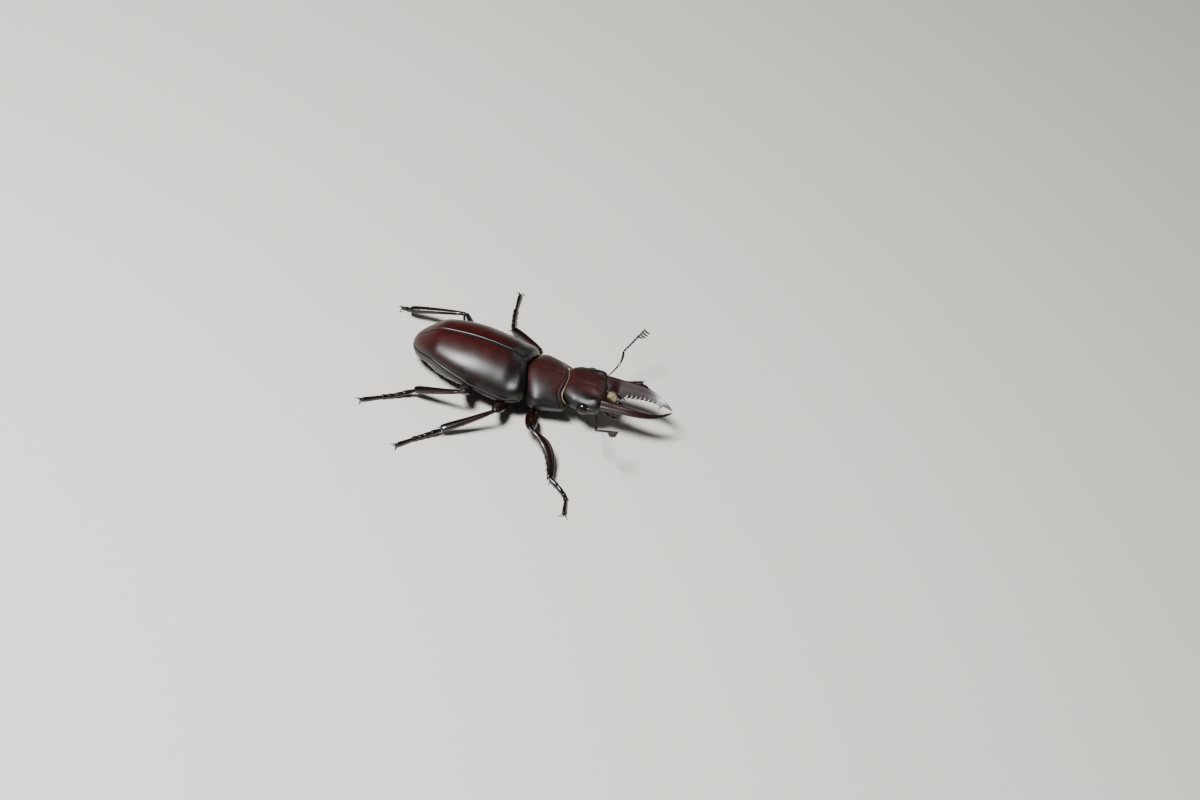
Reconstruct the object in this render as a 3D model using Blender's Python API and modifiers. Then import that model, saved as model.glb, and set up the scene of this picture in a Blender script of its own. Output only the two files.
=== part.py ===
"""A sawtooth stag beetle, male of middle form, life size and standing.

Metres, +Z up.  The head points towards -Y, the beetle's left is +X and its feet
stand on z = 0.  While the pieces are made, y = 0 is the waist between prothorax
and wing cases; at the end everything moves so that the origin is the middle of
the model's footprint.
"""

import math

import bmesh
import bpy
from mathutils import Matrix, Vector

MM = 0.001

# Driving dimensions -------------------------------------------------------------

GAP = 0.3 * MM                  # left between pieces that touch
FINE_GAP = 0.15 * MM            # the same at the small joints of legs and feelers

MARGIN_Z = 4.8 * MM             # height of the body's middle over the floor
BEAD_Z = 4.1 * MM               # height of the wing cases' side edge at the front
ELYTRA_LENGTH = 19.5 * MM
ELYTRA_WIDTH = 14.0 * MM
ELYTRA_RISE = 5.0 * MM          # from the side edge up to the suture
ELYTRA_SHELL = 0.55 * MM
SHOULDER_REACH = 1.7 * MM       # how far their front corners reach past the waist
WIDEST_Y = 5.0 * MM             # where the wing cases are widest
HIND_SWAY = 0.5 * MM            # the hind body's front end lies this far to the right
BELLY_DEPTH = 3.5 * MM          # from its middle down to the belly
BELLY_INSET = 0.70 * MM         # how far the belly's flank lies inside the edge
METASTERNUM_END_Y = 7.4 * MM    # thorax in front of this, abdomen behind it

PROTHORAX_LENGTH = 7.7 * MM
PROTHORAX_WIDTH = 13.0 * MM
PROTHORAX_RISE = 3.5 * MM
PROTHORAX_DEPTH = 2.8 * MM
PROTHORAX_Z = 4.0 * MM          # height of its side edge
PROTHORAX_HORN = 1.1 * MM       # how far its front corners reach forward

HEAD_LENGTH = 6.6 * MM
HEAD_WIDTH = 10.2 * MM
HEAD_RISE = 1.9 * MM
HEAD_DEPTH = 2.2 * MM
HEAD_Z = 5.2 * MM
NECK_DEPTH = 1.0 * MM           # how far the head sits inside the prothorax
EYE_RADII = (0.98 * MM, 1.14 * MM, 1.04 * MM)

MANDIBLE_LENGTH = 11.9 * MM
MANDIBLE_Z = 5.5 * MM
TOOTH_COUNT = 6                 # small teeth in the row on a mandible's inner edge

FRONT_YAW = math.radians(4.0)   # prothorax and head turn a little to the left
FRONT_PITCH = math.radians(3.0) # and look a little up

FEMUR_WIDTH = 2.15 * MM
TIBIA_WIDTH = 1.15 * MM
TARSUS_WIDTH = 0.78 * MM
CLAW_LENGTH = 1.05 * MM
FEELER_WIDTH = 0.5 * MM

# The stance: hip, knee, ankle and the last point of the foot, in millimetres,
# and how far the foot bows sideways.  Right legs are at -X.
STANCE = {
    "front_left": ((4.7, -4.3, 1.5), (9.0, -11.3, 2.9), (12.5, -20.0, 1.5),
                   (9.8, -25.3), 0.7),
    "front_right": ((-4.9, -3.7, 1.5), (-11.5, -4.6, 3.7), (-18.5, -10.6, 1.4),
                    (-24.5, -14.9), 1.6),
    "middle_left": ((4.9, 2.2, 1.5), (9.6, -1.2, 2.9), (14.0, 4.9, 1.5),
                    (25.0, 6.35), 0.2),
    "middle_right": ((-4.9, 1.3, 1.5), (-11.2, 2.1, 4.5), (-16.7, 9.4, 1.4),
                     (-23.1, 15.2), -0.3),
    "hind_left": ((5.0, 9.2, 1.5), (9.2, 13.4, 5.1), (9.0, 22.9, 1.8),
                  (10.3, 24.3), -1.5),
    "hind_right": ((-4.9, 8.2, 1.5), (-10.7, 8.1, 5.6), (-10.1, 16.2, 1.7),
                   (-15.7, 23.8), -0.2),
}
# Feelers in millimetres: the root in the turned head, the elbow, the tip, and the
# way the root joint bows.
FEELERS = {
    "left": ((5.35, -13.95, 4.75), (9.98, -14.81, 9.0), (14.4, -17.1, 12.0),
             (0.8, -0.65, -0.2)),
    "right": ((-5.35, -13.75, 4.85), (-10.3, -15.0, 7.5), (-13.4, -18.7, 11.6),
              (-0.3, -0.3, 0.1)),
}

BLACK = (0.012, 0.006, 0.005)
MAHOGANY = (0.055, 0.010, 0.006)
EYE_BLACK = (0.004, 0.004, 0.005)


# Helpers ------------------------------------------------------------------------

def clear_scene():
    for old in list(bpy.data.objects):
        bpy.data.objects.remove(old, do_unlink=True)


def new_collection(name):
    collection = bpy.data.collections.new(name)
    bpy.context.scene.collection.children.link(collection)
    return collection


def shell_material(name, colour, roughness):
    material = bpy.data.materials.new(name)
    material.use_nodes = True
    surface = material.node_tree.nodes["Principled BSDF"]
    surface.inputs["Base Color"].default_value = (*colour, 1.0)
    surface.inputs["Roughness"].default_value = roughness
    surface.inputs["Metallic"].default_value = 0.0
    return material


def face_outwards(bm):
    bmesh.ops.recalc_face_normals(bm, faces=bm.faces)
    closed = all(len(edge.link_faces) == 2 for edge in bm.edges)
    if closed and bm.calc_volume(signed=True) < 0.0:
        bmesh.ops.reverse_faces(bm, faces=bm.faces)


def add_mesh_object(name, bm, parent, collection):
    face_outwards(bm)
    mesh = bpy.data.meshes.new(name)
    bm.to_mesh(mesh)
    bm.free()
    piece = bpy.data.objects.new(name, mesh)
    piece.parent = parent
    collection.objects.link(piece)
    return piece


def finish(piece, colour, roughness):
    """Shades a piece as rounded shell and gives it a material of its own."""
    piece.data.shade_smooth()
    piece.data.set_sharp_from_angle(angle=math.radians(50))
    piece.data.materials.clear()
    piece.data.materials.append(shell_material(piece.name, colour, roughness))
    return piece


def add_piece(name, bm, colour, roughness=0.3, parent=None):
    piece = add_mesh_object(name, bm, parent, BEETLE)
    return finish(piece, colour, roughness)


def add_cutter(name, bm, parent=None):
    """Makes an object that only cuts others."""
    cutter = add_mesh_object(name, bm, parent, CUTTERS)
    cutter.display_type = 'WIRE'
    cutter.hide_render = True
    return cutter


def cut(piece, cutter):
    boolean = piece.modifiers.new("cut_" + cutter.name, 'BOOLEAN')
    boolean.operation = 'DIFFERENCE'
    boolean.solver = 'EXACT'
    boolean.object = cutter


def fused(name, shapes, colour, roughness=0.3, parent=None):
    """One piece from closed shapes that run into each other."""
    body = add_mesh_object(name, shapes[0], parent, BEETLE)
    for shape in shapes[1:]:
        other = add_mesh_object(name + "_part", shape, parent, CUTTERS)
        union = body.modifiers.new("union", 'BOOLEAN')
        union.operation = 'UNION'
        union.solver = 'EXACT'
        union.object = other
        bpy.context.view_layer.update()
        graph = bpy.context.evaluated_depsgraph_get()
        joined = bpy.data.meshes.new_from_object(body.evaluated_get(graph))
        body.modifiers.clear()
        body.data = joined
        bpy.data.objects.remove(other, do_unlink=True)
    return finish(body, colour, roughness)


def ball(centre, radii, sides=10, rings=6):
    bm = bmesh.new()
    place = Matrix.Translation(centre) @ Matrix.Diagonal((*radii, 1.0))
    bmesh.ops.create_uvsphere(bm, u_segments=sides, v_segments=rings, radius=1.0,
                              matrix=place)
    return bm


def drawn_ball(shape, sides, rings):
    """A ball whose points are drawn to shape(along, angle).

    along runs from -1 to 1 between the poles, and angle goes once round.
    """
    bm = bmesh.new()
    bmesh.ops.create_uvsphere(bm, u_segments=sides, v_segments=rings, radius=1.0)
    for vert in bm.verts:
        along = max(-1.0, min(1.0, vert.co.z))
        angle = math.atan2(vert.co.y, vert.co.x)
        vert.co = shape(along, angle)
    return bm


def sleeve(shape, sides, rings):
    """A closed tube lofted through sections: shape(t, angle), t from 0 to 1."""
    bm = bmesh.new()
    loops = []
    for ring in range(rings + 1):
        loops.append([bm.verts.new(shape(ring / rings, math.tau * side / sides))
                      for side in range(sides)])
    for low, high in zip(loops, loops[1:]):
        for side in range(sides):
            after = (side + 1) % sides
            bm.faces.new((low[side], low[after], high[after], high[side]))
    for loop in (loops[0], loops[-1]):
        bm.faces.new(loop)
    return bm


def rounded(along, squareness):
    """Half-width of a body of length 2 at along, 1 in the middle, 0 at its ends."""
    return (1.0 - abs(along) ** squareness) ** (1.0 / squareness)


def oval(angle, across, above, below, squareness):
    """Point (x, z) of an oval section that may be flatter below than above."""
    c, s = math.cos(angle), math.sin(angle)
    reach = (abs(c) ** squareness + abs(s) ** squareness) ** (-1.0 / squareness)
    return c * reach * across, s * reach * (above if s > 0.0 else below)


def mix(a, b, t):
    return a + (b - a) * t


def smooth(low, high, value):
    """Goes softly from 0 at low to 1 at high."""
    t = max(0.0, min(1.0, (value - low) / (high - low)))
    return t * t * (3.0 - 2.0 * t)


def millimetres(point):
    return Vector(point) * MM


def frame_between(start, end, up=Vector((0, 0, 1))):
    """Places local +Z on the way from start to end, with local +X level."""
    along = (end - start).normalized()
    across = along.cross(up).normalized()
    over = across.cross(along)
    turn = Matrix((across, over, along)).transposed().to_4x4()
    return Matrix.Translation(start) @ turn


# Wing cases, scutellum and hind body --------------------------------------------

def trunk_width(y):
    """Share of the full width that the hind body has at y."""
    if y > WIDEST_Y:
        t = (y - WIDEST_Y) / (ELYTRA_LENGTH - WIDEST_Y)
        return math.sqrt(max(0.0, 1.0 - t * t))
    return 1.0 - 0.09 * ((WIDEST_Y - y) / WIDEST_Y) ** 2.5


def vault_rise(y):
    """Height of the wing cases' vault over their side edge at y."""
    if y > WIDEST_Y:
        flatter = 1.0 - 0.18 * smooth(5.0 * MM, 14.0 * MM, y)
        return ELYTRA_RISE * trunk_width(y) * flatter
    return ELYTRA_RISE * (1.0 - 0.12 * ((WIDEST_Y - y) / WIDEST_Y) ** 2)


def bead_z(y):
    """Height of the side edge, which climbs behind the middle and drops at the tail."""
    climb = 0.9 * smooth(4.0 * MM, 13.5 * MM, y)
    shoulder = 0.4 * (1.0 - smooth(-1.0 * MM, 2.0 * MM, y))
    drop = 1.5 * smooth(15.0 * MM, ELYTRA_LENGTH, y)
    return BEAD_Z + (climb + shoulder - drop) * MM


def trunk_z(y):
    """Height of the belly's widest line, which drops towards the tail."""
    drop = 0.8 * smooth(WIDEST_Y, ELYTRA_LENGTH, y)
    return MARGIN_Z - (0.25 + drop) * MM


def swayed(x, y, z):
    """The hind body is turned a little about its tail."""
    return Vector((x - HIND_SWAY * (1.0 - y / ELYTRA_LENGTH), y, z))


def elytron(name, side):
    """One wing case: a sheet bent over the back, then thickened inwards."""
    bm = bmesh.new()
    bmesh.ops.create_grid(bm, x_segments=8, y_segments=12, size=0.5)
    reach = 0.992                       # the sheet stops just short of the tail
    for vert in bm.verts:
        across, along = vert.co.x + 0.5, vert.co.y + 0.5
        angle = math.radians(90) * (1.0 - across)
        even_bend = math.sin(math.radians(90) * along)
        y = mix(GAP, ELYTRA_LENGTH, mix(along, even_bend, 0.75) * reach)
        x, z = oval(angle, ELYTRA_WIDTH / 2 * trunk_width(y), vault_rise(y), 0.0,
                    mix(1.88, 2.05, smooth(2.0 * MM, 9.0 * MM, y)))
        front = 1.0 - smooth(0.0, 0.12, along)
        shoulder = SHOULDER_REACH * (1.0 - smooth(0.0, 0.3, along)) * math.cos(angle)
        turned_down = 0.4 * MM * front * math.sin(angle)
        vert.co = swayed(side * max(GAP / 2, x), y - shoulder,
                         z + bead_z(y) - turned_down)
    if side < 0:
        bmesh.ops.reverse_faces(bm, faces=bm.faces)
    mesh = bpy.data.meshes.new(name)
    bm.to_mesh(mesh)
    bm.free()
    piece = bpy.data.objects.new(name, mesh)
    BEETLE.objects.link(piece)
    solidify = piece.modifiers.new("thickness", 'SOLIDIFY')
    solidify.thickness = ELYTRA_SHELL
    solidify.offset = -1.0
    return finish(piece, MAHOGANY, 0.28)


def scutellum():
    """The small shield between the roots of the wing cases."""
    def shape(along, angle):
        t = (1.0 + along) / 2
        half = 1.15 * MM * rounded(along, 2.6) * mix(1.0, 0.55, t)
        x, z = oval(angle, half, 0.32 * MM, 0.32 * MM, 2.0)
        z *= rounded(along, 2.6)
        y = mix(0.45 * MM, 2.3 * MM, t)
        return swayed(x, y, z + 8.36 * MM + 0.12 * (y - GAP))
    piece = add_piece("scutellum", drawn_ball(shape, 8, 6), BLACK, 0.3)

    def room(along, angle):
        point = shape(along, angle)
        middle = swayed(0.0, 1.35 * MM, point.z)
        grown = middle + (point - middle) * 1.22
        grown.z = point.z + (0.3 * MM if math.sin(angle) > 0 else -0.3 * MM)
        return grown
    cutter = add_cutter("scutellum_room", drawn_ball(room, 8, 6))
    return piece, cutter


def hind_body_shape(along, angle):
    """The body under the wing cases, from the waist to the tail."""
    room = ELYTRA_SHELL + GAP
    y = mix(GAP, ELYTRA_LENGTH - 2.2 * room, (1.0 - along) / 2)
    end = (1.0 - abs(along) ** (4.5 if along > 0 else 7)) ** (1.0 / 2.5)
    under = smooth(0.0, 0.3, -math.sin(angle))
    half = ELYTRA_WIDTH / 2 * trunk_width(y) - mix(room, BELLY_INSET, under)
    rise = vault_rise(y) + bead_z(y) - trunk_z(y) - room - 0.25 * MM
    depth = BELLY_DEPTH * math.sqrt(trunk_width(y))
    x, z = oval(angle, max(half, 0.3 * MM), max(rise, 0.2 * MM), depth,
                mix(2.0, 2.15, under))
    return swayed(x * end, y, z * end + trunk_z(y))


def hind_body():
    """Thorax and abdomen: one shape, parted where the hind legs join it."""
    pieces = {}
    for name, sign in (("pterothorax", 1), ("abdomen", -1)):
        bm = drawn_ball(hind_body_shape, 20, 14)
        split = METASTERNUM_END_Y - sign * GAP / 2
        geometry = bm.verts[:] + bm.edges[:] + bm.faces[:]
        bmesh.ops.bisect_plane(bm, geom=geometry, plane_co=(0, split, 0),
                               plane_no=(0, sign, 0), clear_outer=True)
        open_edges = [edge for edge in bm.edges if edge.is_boundary]
        bmesh.ops.holes_fill(bm, edges=open_edges)
        pieces[name] = add_piece(name, bm, BLACK, 0.35)
    return pieces


# Prothorax and head, which turn together on the waist ----------------------------

def prothorax_width(y):
    """Half width at y, widest behind the middle and cut in at the rear corners."""
    t = -y / PROTHORAX_LENGTH
    front = mix(1.0, 0.82, smooth(0.35, 1.0, t))
    rear = mix(0.91, 1.0, smooth(0.0, 0.4, t))
    return PROTHORAX_WIDTH / 2 * front * rear


def prothorax_shape(along, angle):
    y = mix(-GAP / 2, -PROTHORAX_LENGTH, (1.0 + along) / 2)
    end = rounded(along, 5.5 if along > 0 else 3.6)
    corner = rounded(along, 5.5 if along > 0 else 2.3)
    rise = PROTHORAX_RISE * mix(1.0, 0.88, smooth(0.0, 1.0, along))
    above = smooth(0.0, 0.5, math.sin(angle))
    x, z = oval(angle, prothorax_width(y), rise, PROTHORAX_DEPTH, mix(2.2, 1.9, above))
    y -= PROTHORAX_HORN * smooth(0.2, 0.9, along) * abs(math.cos(angle)) ** 5
    return Vector((x * corner, y, z * end + PROTHORAX_Z))


def head_width(y):
    """Half width at y: narrow neck, broad at the ridge that crosses the eye."""
    t = (-y - PROTHORAX_LENGTH) / HEAD_LENGTH
    return HEAD_WIDTH / 2 * mix(0.88, 1.0, smooth(0.1, 0.7, t))


def head_shape(along, angle):
    y = mix(-PROTHORAX_LENGTH + NECK_DEPTH, -PROTHORAX_LENGTH - HEAD_LENGTH,
            (1.0 + along) / 2)
    end = rounded(along, 7.0 if along > 0 else 2.6)
    x, z = oval(angle, head_width(y), HEAD_RISE, HEAD_DEPTH, 2.6)
    return Vector((x * end, y, z * end + HEAD_Z))


def head(waist):
    piece = add_piece("head", drawn_ball(head_shape, 20, 13), MAHOGANY, 0.35, waist)
    for name, side in (("eye_left", 1), ("eye_right", -1)):
        centre = Vector((side * (HEAD_WIDTH / 2 - 0.38 * MM), -11.4 * MM, 5.0 * MM))
        add_piece(name, ball(centre, EYE_RADII), EYE_BLACK, 0.1, waist)
        room = [radius + FINE_GAP for radius in EYE_RADII]
        cut(piece, add_cutter(name + "_room", ball(centre, room), waist))
    return piece


def prothorax(waist):
    piece = add_piece("prothorax", drawn_ball(prothorax_shape, 22, 12), MAHOGANY,
                      0.3, waist)

    def room(along, angle):
        point = head_shape(along, angle)
        middle = Vector((0.0, point.y, HEAD_Z))
        away = (point - middle).normalized() if (point - middle).length else Vector()
        point += away * GAP
        if along < 0:
            point.y += GAP
        return point
    cut(piece, add_cutter("head_room", drawn_ball(room, 14, 9), waist))
    return piece


# Jaws, lip and palps --------------------------------------------------------------

JAW_ROOT_Y = -PROTHORAX_LENGTH - HEAD_LENGTH - GAP


def mandible_outer(t):
    """Distance of the outer edge from the middle line, root to tip."""
    return 4.30 * MM * (1.0 - 0.92 * t ** 4.0)


def mandible_width(t):
    return MM * (0.35 + 3.1 * (1.0 - t ** 1.9))


def mandible_thickness(t):
    return MM * (0.35 + 1.15 * (1.0 - t ** 2.0) + 0.5 * math.exp(-(t / 0.15) ** 2))


def mandible_z(t):
    return MANDIBLE_Z + MM * (0.25 * math.sin(math.pi * min(1.0, 1.2 * t)) - 0.1 * t)


def mandible(name, side, waist):
    def shape(t, angle):
        half_thick = mandible_thickness(t) / 2
        x, z = oval(angle, mandible_width(t) / 2, half_thick, half_thick, 2.3)
        centre = mandible_outer(t) - mandible_width(t) / 2
        return Vector((side * (centre + x), JAW_ROOT_Y - MANDIBLE_LENGTH * t,
                       z + mandible_z(t)))

    def tooth(t, length, width):
        inner = mandible_outer(t) - mandible_width(t)
        root = Vector((side * (inner + 0.3 * MM), JAW_ROOT_Y - MANDIBLE_LENGTH * t,
                       mandible_z(t)))
        tip = root - Vector((side * (length + 0.3 * MM), 0.15 * length, 0))
        bm = bmesh.new()
        depth = (tip - root).length
        place = frame_between(root, tip) @ Matrix.Translation((0, 0, depth / 2))
        bmesh.ops.create_cone(bm, cap_ends=True, segments=5, radius1=width / 2,
                              radius2=0.04 * MM, depth=depth, matrix=place)
        return bm
    long_tooth = spike(millimetres((side * 1.25, -16.7, 5.4)),
                       millimetres((side * 0.3, -18.2, 4.9)), 0.32 * MM)
    shapes = [sleeve(shape, 8, 13), long_tooth]
    for number in range(TOOTH_COUNT):
        t = mix(0.36, 0.82, number / (TOOTH_COUNT - 1))
        shapes.append(tooth(t, mix(0.34, 0.20, t) * MM, 0.55 * MM))
    return fused(name, shapes, BLACK, 0.2, waist)


def mouth(waist):
    """The upper lip between the jaws, and the two pairs of palps below them."""
    centre = Vector((0, JAW_ROOT_Y - 0.45 * MM, 5.0 * MM))
    radii = (0.85 * MM, 0.65 * MM, 0.5 * MM)
    add_piece("labrum", ball(centre, radii, 8, 6), BLACK, 0.35, waist)
    for side_name, side in (("left", 1), ("right", -1)):
        for kind, root, turn, end, radius in (
                ("maxillary", (2.0, -14.55, 3.9), (2.9, -15.9, 3.3),
                 (2.6, -17.6, 2.9), 0.27),
                ("labial", (0.7, -14.45, 3.4), (1.1, -15.3, 2.9),
                 (0.8, -16.2, 2.6), 0.25)):
            points = [millimetres((side * x, y, z)) for x, y, z in (root, turn, end)]
            shapes = []
            for start, stop in zip(points, points[1:]):
                start = start - (stop - start).normalized() * 0.3 * MM
                shapes.append(limb_shape(start, stop, radius * MM, radius * MM,
                                         lambda t: mix(0.8, 1.1, t), 6, 4))
            fused("palp_%s_%s" % (kind, side_name), shapes, BLACK, 0.3, waist)


# Legs and feelers ------------------------------------------------------------------

def limb_shape(start, end, half_width, half_thick, swell, sides, rings,
               squareness=5.0, bow=0.0):
    """A rounded rod from start to end; swell(t) scales it, and bow bends it."""
    length = (end - start).length
    place = frame_between(start, end)

    def shape(along, angle):
        t = (1.0 + along) / 2
        size = swell(t) * rounded(along, squareness)
        sideways = bow * math.sin(math.pi * t)
        return place @ Vector((half_width * size * math.cos(angle) + sideways,
                               half_thick * size * math.sin(angle), length * t))
    return drawn_ball(shape, sides, rings)


def spike(root, tip, radius):
    bm = bmesh.new()
    depth = (tip - root).length
    place = frame_between(root, tip) @ Matrix.Translation((0, 0, depth / 2))
    bmesh.ops.create_cone(bm, cap_ends=True, segments=5, radius1=radius,
                          radius2=0.03 * MM, depth=depth, matrix=place)
    return bm


def femur_swell(t):
    return 0.5 + 0.5 * math.sin(math.pi * min(1.0, 0.12 + 0.8 * t)) ** 1.2


def tibia(name, leg, knee, ankle, outside):
    front = leg.startswith("front")
    half_width = TIBIA_WIDTH / 2
    bow = -1.6 * MM * outside if front else 0.15 * MM * outside
    start = knee + (ankle - knee).normalized() * 0.45 * MM
    end = ankle - (ankle - knee).normalized() * 0.1 * MM
    place = frame_between(start, end)
    length = (end - start).length

    def swell(t):
        if front:
            return 0.8 + 0.75 * smooth(0.05, 0.35, t) - 0.42 * smooth(0.45, 1.0, t)
        return mix(0.72, 1.22, smooth(0.0, 1.0, t))

    def at(t, across):
        sideways = bow * math.sin(math.pi * t) + across * half_width * swell(t)
        return place @ Vector((sideways, 0, length * t))
    flatness = 0.62 if front else 0.85
    shapes = [limb_shape(start, end, half_width, half_width * flatness, swell, 8, 7,
                         7.0, bow)]
    for t in (0.45, 0.6, 0.75, 0.88) if front else (0.62,):
        shapes.append(spike(at(t, 0.5 * outside), at(t + 0.05, 1.35 * outside),
                            0.2 * MM))
    for across in (1.0, -1.0):
        shapes.append(spike(at(0.93, 0.4 * across), at(1.06, 1.1 * across),
                            0.2 * MM))
    return fused(name, shapes, BLACK, 0.25)


def foot_path(ankle, toe, bow, t):
    """The foot leaves the ankle, comes down to the floor and bows sideways."""
    flat = Vector((toe.x - ankle.x, toe.y - ankle.y, 0))
    sideways = Vector((-flat.y, flat.x, 0)).normalized() * bow
    height = mix(ankle.z * 0.8, TARSUS_WIDTH * 0.42, smooth(0.0, 0.4, t))
    point = Vector((ankle.x, ankle.y, 0)) + flat * t + sideways * math.sin(math.pi * t)
    return point + Vector((0, 0, height))


def tarsus(name, ankle, toe, bow):
    """Four short joints, a long one and two claws, worn flat where they stand."""
    ends = (0.06, 0.22, 0.36, 0.49, 0.62, 1.0)
    shapes = []
    for low, high in zip(ends, ends[1:]):
        start = foot_path(ankle, toe, bow, low - 0.04)
        end = foot_path(ankle, toe, bow, high)
        size = TARSUS_WIDTH / 2
        shapes.append(limb_shape(start, end, size, size, lambda t: mix(0.72, 1.0, t),
                                 6, 3, 4.0))
    heading = foot_path(ankle, toe, bow, 1.0) - foot_path(ankle, toe, bow, 0.9)
    heading = heading.normalized()
    level = Vector((-heading.y, heading.x, 0)).normalized()
    root = foot_path(ankle, toe, bow, 0.96)
    for side in (1, -1):
        def claw(t, angle, side=side):
            bend = math.radians(75) * t
            out = heading * math.sin(bend) + level * side * (1.0 - math.cos(bend))
            spine = root + out * CLAW_LENGTH * 0.8 + level * side * 0.1 * MM
            spine.z = mix(root.z, 0.1 * MM, t * t) + 0.14 * MM * math.sin(math.pi * t)
            radius = mix(0.22, 0.06, t) * MM
            ahead = (heading * math.cos(bend) + level * side * math.sin(bend))
            beside = ahead.cross(Vector((0, 0, 1))).normalized()
            return (spine + beside * radius * math.cos(angle)
                    + Vector((0, 0, 1)) * radius * math.sin(angle))
        shapes.append(sleeve(claw, 5, 3))
    piece = fused(name, shapes, BLACK, 0.3)
    cut(piece, bpy.data.objects["floor_cutter"])
    return piece


def leg(leg_name, hip, knee, ankle, toe, bow):
    side = 1 if leg_name.endswith("left") else -1
    hip, knee, ankle = millimetres(hip), millimetres(knee), millimetres(ankle)
    toe = millimetres((*toe, 0))
    start = hip + (knee - hip).normalized() * 0.55 * MM
    end = knee - (knee - hip).normalized() * 0.1 * MM
    femur = limb_shape(start, end, FEMUR_WIDTH / 2, FEMUR_WIDTH * 0.36, femur_swell,
                       8, 7)
    add_piece("femur_" + leg_name, femur, BLACK, 0.25)
    heading = (ankle - knee).normalized()
    level_right = heading.cross(Vector((0, 0, 1)))
    outside = 1 if level_right.dot(Vector((side, 0, 0))) > 0 else -1
    tibia("tibia_" + leg_name, leg_name, knee, ankle, outside)
    tarsus("tarsus_" + leg_name, ankle, toe, bow * MM)


def coxa(leg_name, hip, body, parent):
    """The hip joint, a rounded lump let into the underside of the body."""
    side = 1 if leg_name.endswith("left") else -1
    radii = (1.35 * MM, 0.95 * MM, 0.75 * MM)
    centre = millimetres(hip) - Vector((side * 1.35 * MM, 0, 0.15 * MM))
    if parent:
        centre = parent.matrix_world.inverted() @ centre
    add_piece("coxa_" + leg_name, ball(centre, radii, 8, 6), BLACK, 0.3, parent)
    room = [radius + FINE_GAP for radius in radii]
    cut(body, add_cutter("coxa_room_" + leg_name, ball(centre, room, 8, 6), parent))


def antenna(side_name, waist):
    """A long root joint, a beaded whip and a club of four leaves."""
    root, elbow, tip, bow = [millimetres(point) for point in FEELERS[side_name]]
    root = waist.matrix_world @ (root - Vector((0, 0, MARGIN_Z)))
    radius = FEELER_WIDTH / 2
    place = frame_between(root, elbow)
    length = (elbow - root).length

    def scape_shape(along, angle):
        t = (1.0 + along) / 2
        size = radius * mix(0.7, 1.2, t ** 2) * rounded(along, 4.0)
        point = place @ Vector((size * math.cos(angle), size * math.sin(angle),
                                mix(0.3 * MM, length, t)))
        return point + bow * math.sin(math.pi * t)
    scape = drawn_ball(scape_shape, 6, 6)
    add_piece("scape_" + side_name, scape, BLACK, 0.25)
    whip = tip - elbow
    shapes = []
    joints = 6
    for number in range(joints):
        start = elbow + whip * mix(0.07, 0.62, max(0.0, number - 0.3) / joints)
        end = elbow + whip * mix(0.07, 0.62, (number + 1.0) / joints)
        shapes.append(limb_shape(start, end, radius, radius,
                                 lambda t: mix(0.75, 1.05, t), 6, 3, 3.0))
    fused("funicle_" + side_name, shapes, BLACK, 0.3)
    downwards = whip.cross(Vector((0, 0, 1))).normalized() * 0.8 - Vector((0, 0, 0.5))
    leaves = [limb_shape(elbow + whip * 0.65, tip, radius, radius,
                         lambda t: 1.0, 6, 3, 4.0)]
    for number in range(4):
        start = elbow + whip * mix(0.69, 0.96, number / 3)
        end = start + (downwards.normalized() * 0.9 + whip.normalized() * 0.35) * MM
        leaves.append(limb_shape(start, end, 0.27 * MM, 0.25 * MM, lambda t: 1.0,
                                 6, 3, 4.0))
    fused("club_" + side_name, leaves, BLACK, 0.4)


# The beetle -------------------------------------------------------------------------

def front_body(bodies):
    waist = bpy.data.objects.new("waist", None)
    BEETLE.objects.link(waist)
    waist.location = (0, 0, MARGIN_Z)
    waist.rotation_euler = (-FRONT_PITCH, 0, FRONT_YAW)
    bpy.context.view_layer.update()
    bodies["prothorax"] = prothorax(waist)
    head(waist)
    for name, side in (("mandible_left", 1), ("mandible_right", -1)):
        mandible(name, side, waist)
    mouth(waist)
    for collection in (BEETLE, CUTTERS):
        for piece in collection.objects:
            if piece.parent == waist:
                piece.data.transform(Matrix.Translation((0, 0, -MARGIN_Z)))
    return waist


def centre_on_footprint():
    """Moves the beetle so that its box stands on the origin."""
    bpy.context.view_layer.update()
    corners = []
    for piece in BEETLE.objects:
        if piece.type == 'MESH':
            corners += [piece.matrix_world @ vert.co for vert in piece.data.vertices]
    low = [min(corner[axis] for corner in corners) for axis in range(2)]
    high = [max(corner[axis] for corner in corners) for axis in range(2)]
    shift = Vector((-(low[0] + high[0]) / 2, -(low[1] + high[1]) / 2, 0))
    for piece in list(BEETLE.objects) + list(CUTTERS.objects):
        if not piece.parent:
            piece.location += shift


clear_scene()
BEETLE = new_collection("stag_beetle")
CUTTERS = new_collection("cutters")

floor_block = bmesh.new()
bmesh.ops.create_cube(floor_block, size=1.0,
                      matrix=Matrix.Translation((0, 0, -5 * MM))
                      @ Matrix.Diagonal((100 * MM, 100 * MM, 10 * MM, 1)))
add_cutter("floor_cutter", floor_block)

_, scutellum_room = scutellum()
for elytron_name, elytron_side in (("elytron_left", 1), ("elytron_right", -1)):
    cut(elytron(elytron_name, elytron_side), scutellum_room)
trunk = hind_body()
waist_joint = front_body(trunk)

BODY_OF_LEG = {"front": "prothorax", "middle": "pterothorax", "hind": "abdomen"}
for stance_name, (hip_at, knee_at, ankle_at, toe_at, foot_bow) in STANCE.items():
    part_of_body = BODY_OF_LEG[stance_name.split("_")[0]]
    holder = waist_joint if part_of_body == "prothorax" else None
    coxa(stance_name, hip_at, trunk[part_of_body], holder)
    leg(stance_name, hip_at, knee_at, ankle_at, toe_at, foot_bow)
for feeler_side in FEELERS:
    antenna(feeler_side, waist_joint)
centre_on_footprint()
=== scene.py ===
import math
import random

import bpy
from mathutils import Euler, Matrix, Vector, noise


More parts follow.
